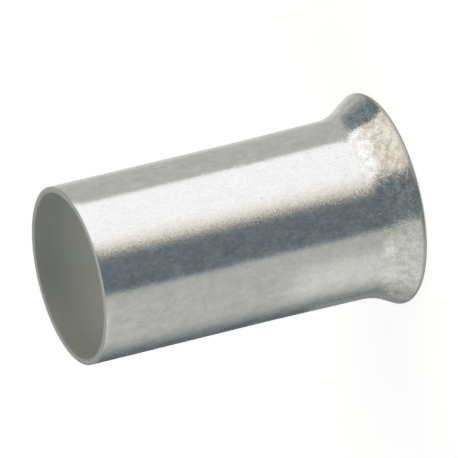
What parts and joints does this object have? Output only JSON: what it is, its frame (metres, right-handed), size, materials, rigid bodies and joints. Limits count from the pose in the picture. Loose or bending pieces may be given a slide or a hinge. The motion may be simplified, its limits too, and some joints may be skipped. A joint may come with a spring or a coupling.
{
  "type": "wire ferrule",
  "caption": "Uninsulated end sleeve of tin-plated copper for stranded wire: a thin straight tube, cut square at its tip and flared to a trumpet mouth where the wire goes in.",
  "frame": {"origin": "centre of the circle that the flared lip stands on", "axes": "+Z along the sleeve's axis, from the flared mouth up to the cut end; X and Y are equal, because the sleeve is round"},
  "size_m": [0.0076, 0.0076, 0.012],
  "materials": {
    "tin_plate": "satin"
  },
  "bodies": {
    "root": {"sleeve": "tin_plate"}
  },
  "joints": []
}
